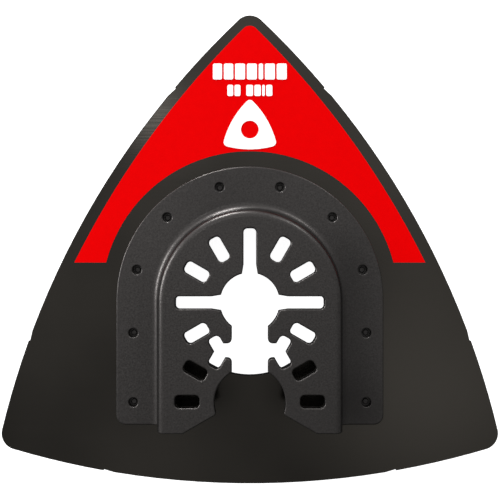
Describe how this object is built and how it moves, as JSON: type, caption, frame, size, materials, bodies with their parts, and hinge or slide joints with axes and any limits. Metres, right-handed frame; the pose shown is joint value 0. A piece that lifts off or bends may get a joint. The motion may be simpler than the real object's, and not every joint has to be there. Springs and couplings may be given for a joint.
{
  "type": "oscillating tool sanding plate",
  "caption": "Triangular abrasive-grit sanding plate with bulged sides and a raised, slotted horseshoe hub that an oscillating multi-tool clamps.",
  "frame": {"origin": "where the hub's axis meets the plane that the grit tips touch", "axes": "+Z along the hub's axis towards the tool, +Y towards the printed corner, +X across the plate, to the right when it is seen from the tool with the printed corner up"},
  "size_m": [0.0842, 0.0794, 0.0082],
  "materials": {
    "plate_coat": "satin black coating on steel",
    "hub_coat": "fine-grained black coating on steel",
    "weld_metal": "black coating over a weld",
    "braze": "dark metallic braze",
    "grit": "sharp grains with a metallic glint",
    "red_ink": "printed ink",
    "white_ink": "printed ink"
  },
  "bodies": {
    "root": {"sanding_plate": "plate_coat", "mounting_hub": "hub_coat", "weld_nuggets": "weld_metal", "braze_coat": "braze", "carbide_grit": "grit", "red_print": "red_ink", "white_print": "white_ink"}
  },
  "joints": []
}
